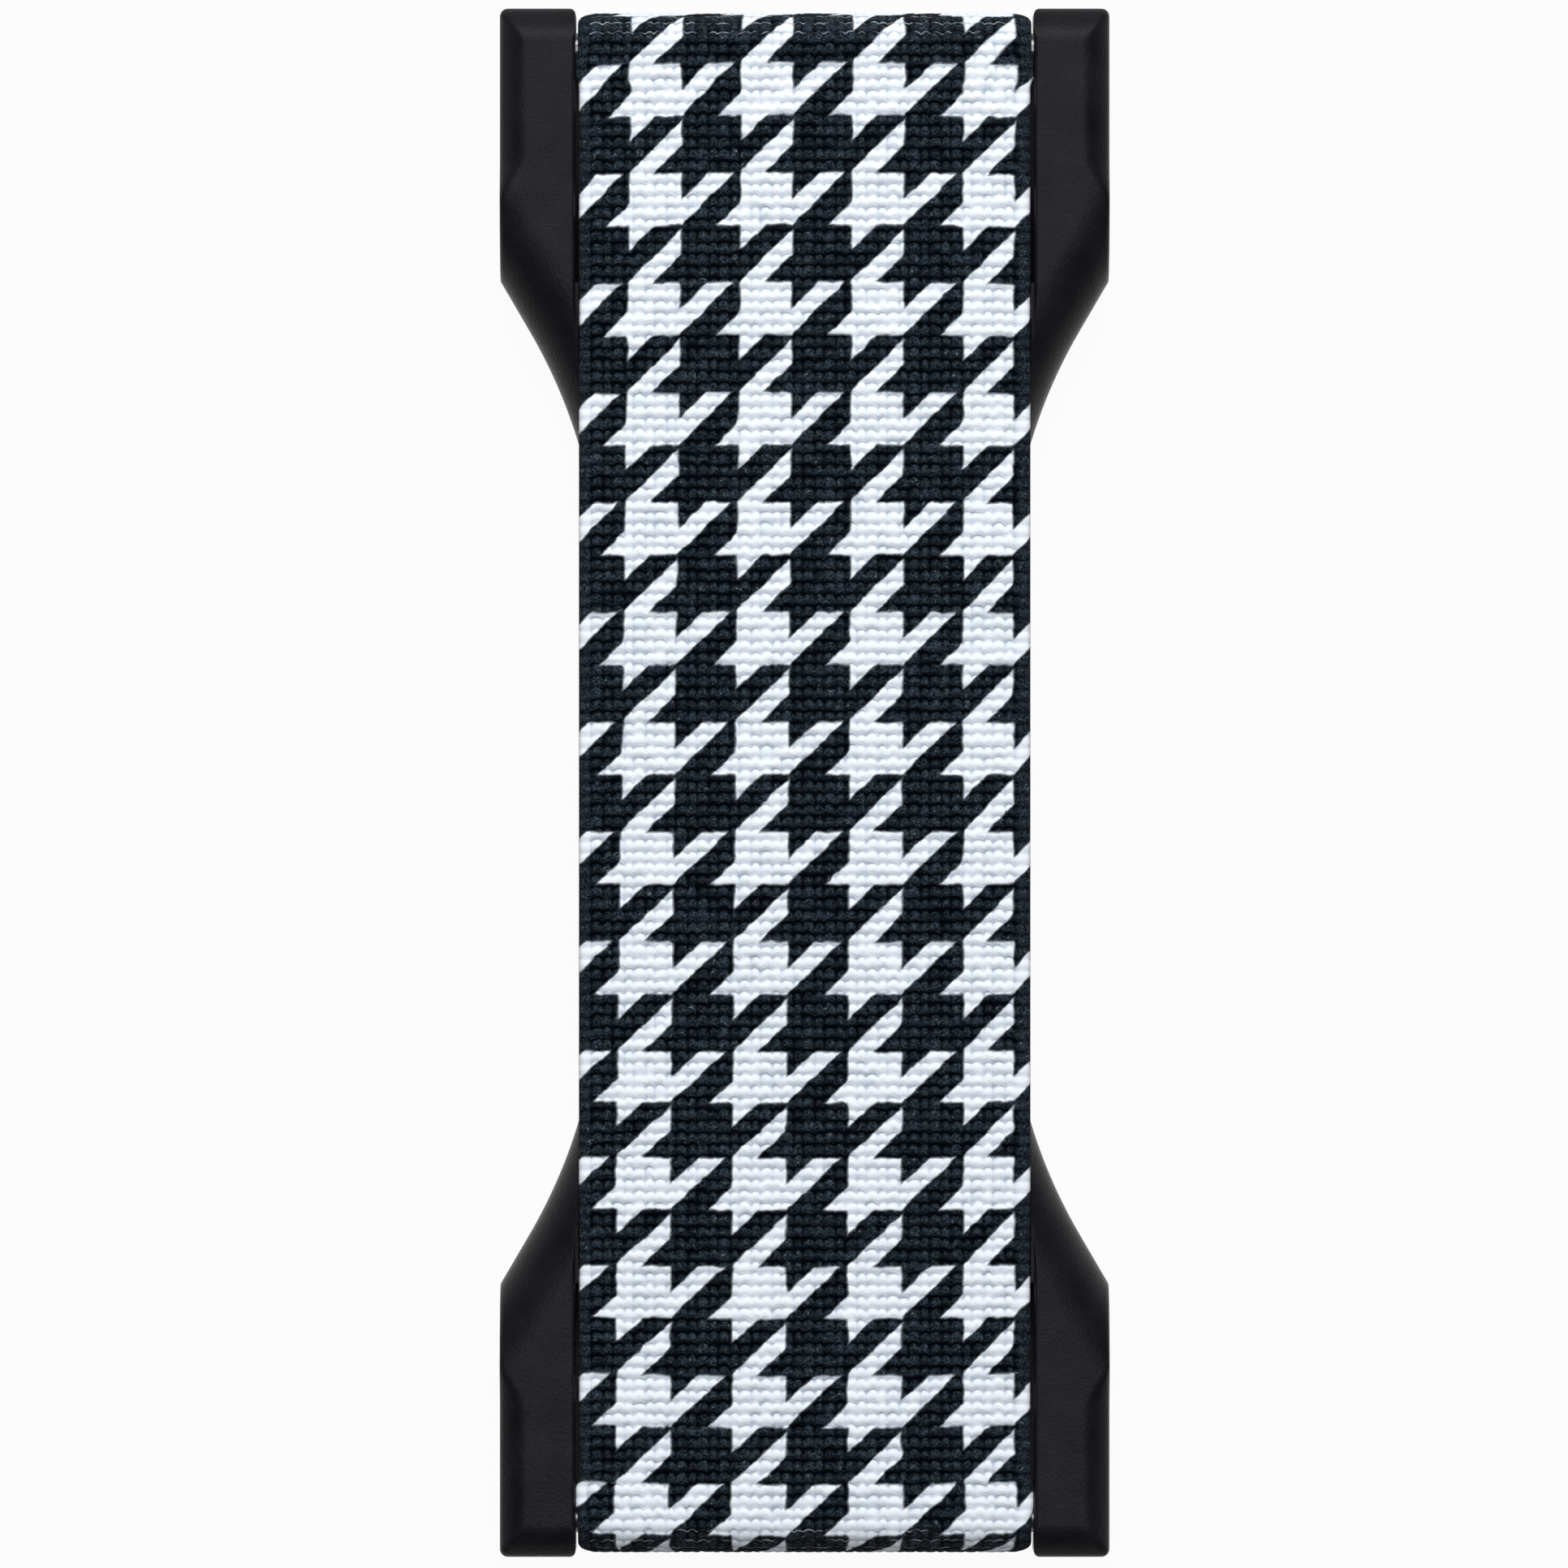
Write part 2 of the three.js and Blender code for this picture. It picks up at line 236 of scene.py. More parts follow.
def inside_taper(x, y):
    along = abs(y)
    edge = half_width_at(y)
    if along > taper_start:
        edge = half_width + (along - taper_start) * math.tan(taper_angle)
    lean = min(max((along - waist_end) / taper_radius, 0.0), 1.0)
    tilt = min(taper_angle, math.asin(lean))
    return (edge - abs(x)) * math.cos(tilt)


def smooth_step(value):
    share = min(max(value, 0.0), 1.0)
    return share * share * (3.0 - 2.0 * share)


def round_drop(distance, radius):
    inward = min(max(1.0 - distance / radius, 0.0), 1.0)
    return radius * (1.0 - math.sqrt(1.0 - inward ** 2))


def slope_drop(distance, width, height):
    if width <= 0.0:
        return 0.0
    inward = min(max(1.0 - distance / width, 0.0), 1.0)
    return height * inward ** 2


def shoulder_drop(x, y):
    inward = 1.0 - min(max(inside_taper(x, y) / shoulder_width, 0.0), 1.0)
    return (lug_top - waist_top) * (1.0 - math.sqrt(1.0 - inward ** 2))


def side_share_at(y):
    return smooth_step((abs(y) - taper_start - fade_start) / fade_length)


def top_height(x, y):
    from_side = half_width_at(y) - abs(x)
    from_end = lug_end - abs(y)
    share = side_share_at(y)
    drops = [
        shoulder_drop(x, y),
        slope_drop(from_side, side_slope * share, side_fall * share),
        slope_drop(from_end, end_slope, end_fall),
    ]
    fall = sum(drop ** 6 for drop in drops) ** (1.0 / 6.0)
    return lug_top - fall - round_drop(min(from_side, from_end), rim_round)


print("height at the waist and on a lug:", top_height(0.0, 0.0), top_height(16.0, 40.0))


# %% [markdown]
# ## The moulding
#
# The moulding starts as a flat grid. Its rows are close together where the face bends and its columns
# follow the outline, so the rounded edges are smooth without a great number of faces. The rim of the grid
# is then extruded down to make the walls, and the opening below is closed with one face.

# %% Rows and columns of the grid
def spread(start, finish, count):
    return [start + (finish - start) * step / count for step in range(1, count + 1)]


# The curve on a lug's edge begins at fade_first, with close rows up to fade_close, and is whole at fade_last
fade_first = taper_start + fade_start
fade_close = fade_first + 0.6
fade_last = fade_first + fade_length
column_reach = 5.4
half_rows = [0.0]
half_rows += spread(0.0, waist_end, 6)
half_rows += spread(waist_end, arc_end, 26)
half_rows += spread(arc_end, taper_start, 8)
half_rows += spread(taper_start, fade_first, 14)
half_rows += spread(fade_first, fade_close, 5)
half_rows += spread(fade_close, fade_last, 9)
half_rows += spread(fade_last, lug_end - end_slope, 6)
half_rows += spread(lug_end - end_slope, lug_end - rim_round, 12)
half_rows += [lug_end - rim_round * (1.0 - math.sin(math.pi * step / 12)) for step in range(1, 7)]
rim_steps = [rim_round * (1.0 - math.cos(math.pi * step / 12)) for step in range(0, 7)]
rim_steps += spread(rim_round, side_slope, 12) + spread(side_slope, column_reach, 18)
print("grid:", 2 * len(half_rows) - 1, "rows,", 2 * len(rim_steps) + 1, "columns")

# %% Shape the grid
column_count = 2 * len(rim_steps)
row_count = 2 * (len(half_rows) - 1)
bpy.ops.object.select_all(action="DESELECT")
bpy.ops.mesh.primitive_grid_add(x_subdivisions=column_count, y_subdivisions=row_count, size=2.0)
base_shell = bpy.context.object
base_shell.name = "base_shell"
for vertex in base_shell.data.vertices:
    row = round(vertex.co.y * row_count / 2)
    column = round(vertex.co.x * column_count / 2)
    y = math.copysign(half_rows[abs(row)], row)
    x = 0.0
    if column != 0:
        x = math.copysign(half_width_at(y) - rim_steps[len(rim_steps) - abs(column)], column)
    vertex.co = Vector((x, y, top_height(x, y))) * MM
print("upper face:", len(base_shell.data.polygons), "faces")

# %% Walls and underside
bpy.ops.object.mode_set(mode="EDIT")
bpy.ops.mesh.select_all(action="DESELECT")
bpy.ops.mesh.select_mode(type="EDGE")
bpy.ops.mesh.select_non_manifold()
bpy.ops.mesh.extrude_edges_move()
bpy.ops.transform.resize(value=(1.0, 1.0, 0.0), center_override=(0.0, 0.0, pad_top * MM))
bpy.ops.mesh.edge_face_add()
bpy.ops.mesh.select_all(action="SELECT")
bpy.ops.mesh.normals_make_consistent(inside=False)
bpy.ops.object.mode_set(mode="OBJECT")
print("closed moulding:", len(base_shell.data.polygons), "faces")


# %% [markdown]
# ## Cutting the channel, the slots and the recess
#
# What is hollow is cut out with simple solids. Each one starts as a filled circle whose corners are moved
# to an outline, and the outline is extruded. A slim cutter with a round inside takes the sharp edge off the
# channel's upper corners, which is the thin bright line beside the band.

# %% How a cutter is made and used
def prism(name, outline, axis, start, finish):
    bpy.ops.object.select_all(action="DESELECT")
    bpy.ops.mesh.primitive_circle_add(vertices=len(outline), radius=1.0, fill_type="NGON")
    piece = bpy.context.object
    piece.name = name
    for vertex, (first, second) in zip(piece.data.vertices, outline):
        if axis == "X":
            vertex.co = Vector((start, first, second)) * MM
        elif axis == "Y":
            vertex.co = Vector((first, start, second)) * MM
        else:
            vertex.co = Vector((first, second, start)) * MM
    move = {"X": (1.0, 0.0, 0.0), "Y": (0.0, 1.0, 0.0), "Z": (0.0, 0.0, 1.0)}[axis]
    bpy.ops.object.mode_set(mode="EDIT")
    bpy.ops.mesh.select_all(action="SELECT")
    shift = Vector(move) * (finish - start) * MM
    bpy.ops.mesh.extrude_region_move(TRANSFORM_OT_translate={"value": shift})
    bpy.ops.mesh.select_all(action="SELECT")
    bpy.ops.mesh.normals_make_consistent(inside=False)
    bpy.ops.object.mode_set(mode="OBJECT")
    return piece


def combine(piece, tool, operation):
    step = piece.modifiers.new("combine", "BOOLEAN")
    step.operation = operation
    step.solver = "EXACT"
    step.object = tool
    bpy.ops.object.select_all(action="DESELECT")
    bpy.context.view_layer.objects.active = piece
    piece.select_set(True)
    bpy.ops.object.modifier_apply(modifier=step.name)
    bpy.data.objects.remove(tool, do_unlink=True)


print("cutters are made by prism() and used by combine()")

# %% The channel between the lugs
below = -1.0
above = 8.0
beyond = 50.0
close_half = band_half + 0.03
wide_start = 31.2
ramp_middle = (ramp_top + ramp_foot) / 2
ramp = []
for step in range(0, 17):
    share = step / 16
    keep = 1.0 - share
    ramp_y = keep ** 3 * ramp_foot + 3 * keep ** 2 * share * ramp_middle
    ramp_y += 3 * keep * share ** 2 * ramp_middle + share ** 3 * ramp_top
    ramp_z = (keep ** 3 + 3 * keep ** 2 * share) * waist_top + (3 * keep * share ** 2 + share ** 3) * web_top
    ramp.append((ramp_y, ramp_z))
channel_side = ramp + [(web_y, web_top), (web_y, below), (beyond, below), (beyond, above)]
channel_side = channel_side + [(-y, z) for y, z in reversed(channel_side)]
combine(base_shell, prism("channel_cutter", channel_side, "X", -close_half, close_half), "DIFFERENCE")
wide_side = [(wide_start, 4.7), (31.8, 3.6), (36.0, 4.4), (ramp_top, web_top), (web_y, web_top)]
wide_side += [(web_y, below), (beyond, below), (beyond, above), (wide_start, above)]
for end in (-1, 1):
    wide = [(end * y, z) for y, z in wide_side]
    combine(base_shell, prism("wide_cutter", wide, "X", -channel_half, channel_half), "DIFFERENCE")
print("after the channel:", len(base_shell.data.polygons), "faces")

# %% Round the channel's upper edges and the lugs' inner corners
# Each cutter starts a little inside the channel, goes on past the face, and its curve overshoots the face by
# a hair, so that no two faces lie in one plane
lip_radius = 0.3
lip_turn = 17.4
lip_reach = 49.5
nook = 0.4
nook_turn = 12.8
inside = 0.1
outside = 0.6
hair = 0.003
for side in (-1, 1):
    for end in (-1, 1):
        corner = [(side * (channel_half - inside), end * (lug_end - nook))]
        for step in range(0, 8):
            angle = math.radians(180 - nook_turn * step)
            corner_x = channel_half + nook + nook * math.cos(angle)
            corner_y = lug_end - nook + (nook + hair) * math.sin(angle)
            corner.append((side * corner_x, end * corner_y))
        corner.append((side * (channel_half + nook), end * (lug_end + outside)))
        corner.append((side * (channel_half - inside), end * (lug_end + outside)))
        combine(base_shell, prism("corner_cutter", corner, "Z", 0.0, above), "DIFFERENCE")
    lip = [(side * (channel_half - inside), lug_top - lip_radius)]
    for step in range(0, 6):
        angle = math.radians(180 - lip_turn * step)
        lip_x = channel_half + lip_radius + lip_radius * math.cos(angle)
        lip_z = lug_top - lip_radius + (lip_radius + hair) * math.sin(angle)
        lip.append((side * lip_x, lip_z))
    lip.append((side * (channel_half + lip_radius), lug_top + outside))
    lip.append((side * (channel_half - inside), lug_top + outside))
    combine(base_shell, prism("lip_cutter", lip, "Y", -lip_reach, lip_reach), "DIFFERENCE")
print("after the rounds:", len(base_shell.data.polygons), "faces")


# %% [markdown]
# ## The underside of the moulding
#
# From below, the moulding is a shallow tray. The closing plate lies in it, the band's tails pass through a
# slot into a pocket at each end, and each pin drops into a slot of its own. Eight pegs locate the plate.

# %% Recess, slots and pockets
def base_outline(inset, notch_half):
    reach = lug_end - inset
    right = []
    for step in range(0, 13):
        y = waist_end + (arc_end - waist_end) * step / 12
        right.append((half_width_at(y) - inset, y))
    right.append((half_width - inset, taper_start))
    right.append((half_width - inset, reach))
    if notch_half > 0:
        right.append((notch_half, reach))
        right.append((notch_half, web_y))
    upper = right + [(-x, y) for x, y in reversed(right)]
    return upper + [(-x, -y) for x, y in upper]


def upright_box(near, far, top):
    return [(near, cut_foot), (far, cut_foot), (far, top), (near, top)]


wall = 1.2
cut_foot = 0.5
pin_slot_radius = 1.05
pin_slot_half = pin_half + 0.05
pin_side = [(pin_y - pin_slot_radius, cut_foot), (pin_y + pin_slot_radius, cut_foot)]
for step in range(0, 17):
    angle = math.pi * step / 16
    arc_y = pin_y + pin_slot_radius * math.cos(angle)
    arc_z = pin_height + pin_slot_radius * math.sin(angle)
    pin_side.append((arc_y, arc_z))
combine(base_shell, prism("recess", base_outline(wall, 0), "Z", -0.2, plate_top), "DIFFERENCE")
for end in (-1, 1):
    for cutter_name, cutter_side, cutter_half in (
        ("slot", upright_box(slot_near, slot_far, slot_top), channel_half),
        ("pocket", upright_box(pocket_y, step_y, pocket_top), channel_half),
        ("pin_slot", pin_side, pin_slot_half),
    ):
        end_side = [(end * y, z) for y, z in cutter_side]
        combine(base_shell, prism(cutter_name, end_side, "X", -cutter_half, cutter_half), "DIFFERENCE")
print("after the slots:", len(base_shell.data.polygons), "faces")

# %% Pegs
peg_radius = 0.8
peg_inset = 3.6
peg_to_pocket = 2.4
peg_places = []
for peg_y in (waist_end, pocket_y - peg_to_pocket):
    peg_x = half_width_at(peg_y) - peg_inset
    peg_places += [(peg_x, peg_y), (-peg_x, peg_y), (peg_x, -peg_y), (-peg_x, -peg_y)]
for peg_x, peg_y in peg_places:
    ring = []
    for step in range(0, 24):
        angle = 2 * math.pi * step / 24
        ring.append((peg_x + peg_radius * math.cos(angle), peg_y + peg_radius * math.sin(angle)))
    combine(base_shell, prism("peg", ring, "Z", pad_top + 0.02, plate_top + 0.05), "UNION")
print("after the pegs:", len(base_shell.data.polygons), "faces")

# %% Finish the moulding's shading
bpy.ops.object.select_all(action="DESELECT")
base_shell.select_set(True)
bpy.context.view_layer.objects.active = base_shell
bpy.ops.object.shade_smooth_by_angle(angle=math.radians(28))
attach(base_shell, "root")
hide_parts("base")
print("base_shell:", len(base_shell.data.vertices), "points")


# %% [markdown]
# ## The woven band
#
# The band is elastic about 1 mm thick, woven in rows across it. Each row is a line of plump beads of yarn, a
# wide one and a narrow one by turns, and the upper edge of each bead is a small arch. The band is taut, so it
# is modelled directly: a grid is wrapped round both pins like a belt, its lines follow the beads' edges, and
# each point sinks by the depth of the weave there. A simulation would only make it sag.

# %% Columns across the band
wide_bead = 0.76
narrow_bead = 0.56
selvedge = 0.78
least_rest = 0.3
bead_columns = []
place = -band_half + selvedge
turn = 0
while place < band_half - selvedge - least_rest:
    width = wide_bead if turn % 2 == 0 else narrow_bead
    shares = (0.0, 0.25, 0.5, 0.75) if turn % 2 == 0 else (0.0, 0.34, 0.67)
    for share in shares:
        bead_columns.append((place + width * share, share, turn))
    place += width
    turn += 1
bead_columns.append((place, 0.0, turn))
edge_steps = (0.0, 0.05, 0.15, 0.3, 0.48, 0.63)
left_edge = [(-band_half + step, -1.0, -1) for step in edge_steps]
right_edge = [(band_half - step, -1.0, -2) for step in reversed(edge_steps)]
outer_columns = left_edge + bead_columns + right_edge
inner_columns = [13.95, 13.6, 7.0, 0.0, -7.0, -13.6, -13.95]
print("columns:", len(outer_columns), "outside,", len(inner_columns), "inside,", turn, "beads in a row")

# %% Rows along the band
bend_length = math.pi * wrap_radius
flat_length = 2 * pin_y
loop_length = 2 * bend_length + flat_length
# How full a bead stands at each share of its row, from one edge to the next
row_forms = {0.0: 0.0, 0.22: 0.72, 0.5: 1.0, 0.8: 0.70}
bead_rows = round(loop_length / row_pitch)
row_lines = []
for bead_row in range(bead_rows):
    for share in row_forms:
        row_lines.append(((bead_row + share) * loop_length / bead_rows, share, bead_row))
row_lines.append((loop_length, 0.0, bead_rows))
tail_length = pin_y - tail_start
tail_steps = [tail_length, tail_length * 0.98, 5.2, 3.8, 2.4, 1.0]
band_lines = [(-step, -1.0, -1) for step in tail_steps] + row_lines
band_lines += [(loop_length + step, -1.0, -1) for step in reversed(tail_steps)]
print("lines along the band:", len(band_lines))


# %% The loop round the pins, and the depth of the weave
row_relief = 0.22
bead_relief = 0.11
lump_relief = 0.09
fine_relief = 0.06
selvedge_relief = 0.10
tail_depth = 0.12


def loop_place(travel):
    if travel < 0.0:
        return (pin_y + travel, pin_height), (0.0, -1.0)
    if travel <= bend_length:
        angle = travel / wrap_radius - math.pi / 2
        return (pin_y, pin_height), (math.cos(angle), math.sin(angle))
    if travel <= bend_length + flat_length:
        return (pin_y - (travel - bend_length), pin_height), (0.0, 1.0)
    if travel <= loop_length:
        angle = (travel - bend_length - flat_length) / wrap_radius + math.pi / 2
        return (-pin_y, pin_height), (math.cos(angle), math.sin(angle))
    return (-pin_y + (travel - loop_length), pin_height), (0.0, -1.0)


def weave_depth(x, column_share, bead, row_share, bead_row):
    if row_share < 0.0:
        return tail_depth
    row_form = row_forms[row_share]
    if column_share < 0.0:
        return selvedge_relief * (1.0 - row_form) + 0.02
    across_form = abs(2.0 * column_share - 1.0) ** 2.4
    depth = row_relief * (1.0 - row_form) + bead_relief * across_form * (0.3 + 0.7 * row_form)
    lump = noise.noise(Vector((bead * 3.7, bead_row * 5.3, 1.5)))
    fine = noise.noise(Vector((x * 2.6, bead_row * 2.1 + row_share * 1.7, 7.0)))
    return max(0.0, depth + lump_relief * lump + fine_relief * fine - 0.02)


print("loop length:", round(loop_length, 2), "mm in", bead_rows, "rows")


# %% [markdown]
# The print is a flat drawing on the cloth, so it needs a flat map of the band: across it in one direction,
# along the loop in the other. Its rows are placed by four of them, and near the band's sides each row
# bends a little towards the middle of the band.

# %% The print's place on the band
check_edge = 9.88
check_top = 43.85
check_rows = [(45.02, 0.0), (-16.79, 9.0), (-23.43, 10.0), (-43.81, 13.0)]
check_breaks = (-16.74, -23.38)
map_columns = 10.0
map_rows = 20.0
map_left = 0.5
map_top = 0.1


def check_width_at(y):
    return min(7.22, 6.915 + 0.0045 * (check_top - y))


def check_row_at(y):
    first = sum(1 for limit in check_breaks if y <= limit)
    start_y, start_row = check_rows[first]
    finish_y, finish_row = check_rows[first + 1]
    return start_row + (finish_row - start_row) * (start_y - y) / (start_y - finish_y)


def print_place(x, travel):
    y = pin_y - (travel - bend_length)
    across = (x - check_edge) / check_width_at(y)
    if across > 0.0:
        across *= 1.0 + 0.06 * min(max((check_top - y) / 30.0, 0.0), 1.0)
    along = check_row_at(y + 0.004 * y * (x / 12.0) ** 2)
    return (map_left + across / map_columns, map_top + along / map_rows)


middle_spot = print_place(0.0, bend_length + pin_y)
print("print at the middle of the band:", [round(value, 3) for value in middle_spot])

# %% [markdown]
# The band is rounded in from its sides at the outermost part of each rolled end. Just before each end it
# widens until it all but touches the lugs' inner walls, and most of that is gone again over the pin.

# %% Width of the band near its ends
end_start = 47.45
end_round = 0.6


def band_half_at(y):
    near_end = max(0.0, abs(y) - end_start)
    narrowing = end_round - math.sqrt(max(0.0, end_round ** 2 - min(near_end, end_round) ** 2))
    snug = 0.21 * smooth_step((abs(y) - 43.4) / 0.7) - 0.14 * smooth_step((abs(y) - 45.3) / 0.5)
    return band_half + snug - narrowing


print("half width beside the web and at the end:", round(band_half_at(44.5), 2), round(band_half_at(48.1), 2))

# %% Shape the band
deepest = 0.28
bend_loss = 0.65
edge_round = 0.42
bead_arch = 0.15
bead_stray = 0.14
ring_count = len(outer_columns) + len(inner_columns)
line_count = len(band_lines)
bpy.ops.object.select_all(action="DESELECT")
bpy.ops.mesh.primitive_grid_add(x_subdivisions=ring_count, y_subdivisions=line_count - 1, size=2.0)
strap_band = bpy.context.object
strap_band.name = "strap_band"
band_mesh = strap_band.data
# yarn_depth is the weave's depth at each point. The cloth finish uses it to paint shade in the valleys
# between the beads
sunk = band_mesh.attributes.new("yarn_depth", "FLOAT", "POINT")
opened = band_mesh.attributes.new("weave_opened", "FLOAT", "POINT")
print_spots = []
for vertex in band_mesh.vertices:
    column = round((vertex.co.x + 1.0) / 2.0 * ring_count) % ring_count
    line = round((vertex.co.y + 1.0) / 2.0 * (line_count - 1))
    travel, row_share, bead_row = band_lines[line]
    if column < len(outer_columns):
        x, column_share, bead = outer_columns[column]
        depth = weave_depth(x, column_share, bead, row_share, bead_row)
        sunk.data[vertex.index].value = min(1.0, depth / deepest)
        bend = smooth_step((abs(pin_y - (travel - bend_length)) - pin_y + 0.2) / 1.4)
        if row_share == 0.0 and column_share >= 0.0:
            opened.data[vertex.index].value = bend
        depth = depth * (1.0 - bend_loss * bend) + round_drop(band_half - abs(x), edge_round)
        if column_share >= 0.0 and 0 < bead_row < bead_rows:
            travel -= bead_arch * (1.0 - (2.0 * column_share - 1.0) ** 2)
            travel += bead_stray * noise.noise(Vector((x * 1.7, travel * 1.2, 3.0)))
    else:
        x = inner_columns[column - len(outer_columns)]
        depth = band_thickness - (0.2 if abs(x) > 13.7 else 0.0)
        # The inner face gets a middling depth, and so a middling painted shade
        sunk.data[vertex.index].value = 0.4
    print_spots.append(print_place(x, travel))
    (centre_y, centre_z), (out_y, out_z) = loop_place(travel)
    reach = wrap_radius - depth + 0.1 * abs(out_y)
    y = centre_y + out_y * reach
    x = x * band_half_at(y) / band_half
    vertex.co = Vector((x, y, centre_z + out_z * reach)) * MM
print("band:", len(band_mesh.polygons), "faces")

# %% Lay the print's map on it
band_map = band_mesh.uv_layers.active
for loop in band_mesh.loops:
    band_map.data[loop.index].uv = print_spots[loop.vertex_index]
print("map:", band_map.name)

# %% Close the band's seam and its ends
bpy.ops.object.mode_set(mode="EDIT")
bpy.ops.mesh.select_all(action="SELECT")
bpy.ops.mesh.remove_doubles(threshold=0.000001)
bpy.ops.mesh.select_all(action="DESELECT")
bpy.ops.mesh.select_mode(type="EDGE")
bpy.ops.mesh.select_non_manifold()
bpy.ops.mesh.edge_face_add()
bpy.ops.mesh.select_all(action="SELECT")
bpy.ops.mesh.normals_make_consistent(inside=False)
bpy.ops.object.mode_set(mode="OBJECT")
bpy.ops.object.shade_smooth()
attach(strap_band, "root")
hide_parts("strap")
print("closed band:", len(band_mesh.polygons), "faces")

# %% [markdown]
# ## Pins and pad
#
# The pins are drawn steel rods with a small chamfer at each end. The pad is a sheet of soft foam, so its
# edges are slightly rounded rather than sharp.


# %% Steel pins
pin_chamfer = 0.15


def steel_pin(name, y):
    bpy.ops.object.select_all(action="DESELECT")
    bpy.ops.mesh.primitive_cylinder_add(
        vertices=48,
        radius=pin_radius * MM,
        depth=2 * pin_half * MM,
        location=(0.0, y * MM, pin_height * MM),
        rotation=(0.0, math.pi / 2, 0.0),
    )
    pin = bpy.context.object
    pin.name = name
    bpy.ops.object.transform_apply(location=True, rotation=True, scale=True)
    bevel = pin.modifiers.new("chamfer", "BEVEL")
    bevel.width = pin_chamfer * MM
    bevel.segments = 3
    bevel.limit_method = "ANGLE"
    bpy.ops.object.modifier_apply(modifier=bevel.name)
    bpy.ops.object.shade_smooth_by_angle(angle=math.radians(30))
    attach(pin, "root")
    return pin


top_pin = steel_pin("steel_pin_top", pin_y)
bottom_pin = steel_pin("steel_pin_bottom", -pin_y)
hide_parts("pin_top")
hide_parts("pin_bottom")
print("pins:", top_pin.name, bottom_pin.name)

# %% Foam pad
pad_inset = 0.4
pad_edge = 0.14
foam_pad = prism("foam_pad", base_outline(pad_inset, channel_half + pad_inset), "Z", 0.0, pad_top)
bpy.ops.object.select_all(action="DESELECT")
foam_pad.select_set(True)
bpy.context.view_layer.objects.active = foam_pad
pad_bevel = foam_pad.modifiers.new("soft_edge", "BEVEL")
pad_bevel.width = pad_edge * MM
pad_bevel.segments = 3
pad_bevel.limit_method = "ANGLE"
pad_bevel.angle_limit = math.radians(40)
bpy.ops.object.modifier_apply(modifier=pad_bevel.name)
bpy.ops.object.shade_smooth_by_angle(angle=math.radians(35))
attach(foam_pad, "root")
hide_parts("adhesive_pad")
print("pad:", len(foam_pad.data.polygons), "faces")

# %% [markdown]
# ## Cloth and padding
#
# Two pieces are soft. The band is a sheet, cut 28.2 mm wide and 115 mm long, held stretched over both pins.
# The pad is foam all the way through.

# %% Say which piece is cloth and which is padded
print("cloth:", strap_band.name, "padded:", foam_pad.name)


# %% [markdown]
# ## How the finishes are wired
#
# Each finish is a small net of nodes. These helpers add one node and return its output, so that a finish
# reads like a list of steps.

# %% Helpers for the finishes
class Finish:
    def __init__(self, name):
        self.material = bpy.data.materials.new(name)
        self.material.use_nodes = True
        self.tree = self.material.node_tree
        self.shader = self.tree.nodes["Principled BSDF"]

    def add(self, kind, **settings):
        node = self.tree.nodes.new(kind)
        for name, value in settings.items():
            setattr(node, name, value)
        return node

    def feed(self, source, target):
        if isinstance(source, (int, float)):
            target.default_value = source
        else:
            self.tree.links.new(source, target)

    def maths(self, operation, first, second=0.0, third=0.0, clamp=False):
        node = self.add("ShaderNodeMath", operation=operation, use_clamp=clamp)
        for source, target in zip((first, second, third), node.inputs):
            self.feed(source, target)
        return node.outputs[0]

    def object_place(self):
        return self.add("ShaderNodeTexCoord").outputs["Object"]

    def grain(self, place, scale, detail=3.0, roughness=0.5, distortion=0.0):
        node = self.add("ShaderNodeTexNoise")
        self.feed(place, node.inputs["Vector"])
        node.inputs["Scale"].default_value = scale
        node.inputs["Detail"].default_value = detail
        node.inputs["Roughness"].default_value = roughness
        node.inputs["Distortion"].default_value = distortion
        return node.outputs["Fac"]

    def ramp(self, value, stops):
        node = self.add("ShaderNodeValToRGB")
        self.feed(value, node.inputs["Fac"])
        while len(node.color_ramp.elements) < len(stops):
            node.color_ramp.elements.new(0.5)
        for element, (position, colour) in zip(node.color_ramp.elements, stops):
            element.position = position
            element.color = (*colour, 1.0)
        return node.outputs["Color"]

    def blend(self, share, first, second, kind="MIX"):
        node = self.add("ShaderNodeMix", data_type="RGBA", blend_type=kind)
        self.feed(share, node.inputs[0])
        for source, target in ((first, node.inputs[6]), (second, node.inputs[7])):
            if isinstance(source, tuple):
                target.default_value = (*source, 1.0)
            else:
                self.tree.links.new(source, target)
        return node.outputs[2]

    def bump(self, height, distance, strength):
        node = self.add("ShaderNodeBump")
        self.feed(height, node.inputs["Height"])
        node.inputs["Distance"].default_value = distance
        node.inputs["Strength"].default_value = strength
        return node.outputs["Normal"]

    def set(self, **sockets):
        for name, source in sockets.items():
            socket = self.shader.inputs[name.replace("_", " ").title().replace("Ior", "IOR")]
            if isinstance(source, tuple):
                socket.default_value = (*source, 1.0)
            else:
                self.feed(source, socket)


print("finishes are made with Finish()")

# %% [markdown]
# ## Moulded plastic
#
# The moulding is near-black with a fine satin grain, as a spark-eroded mould leaves. Two sizes of noise make
# the grain, a fine one for the bumps and the gloss and a coarse one for faint patches in the colour.

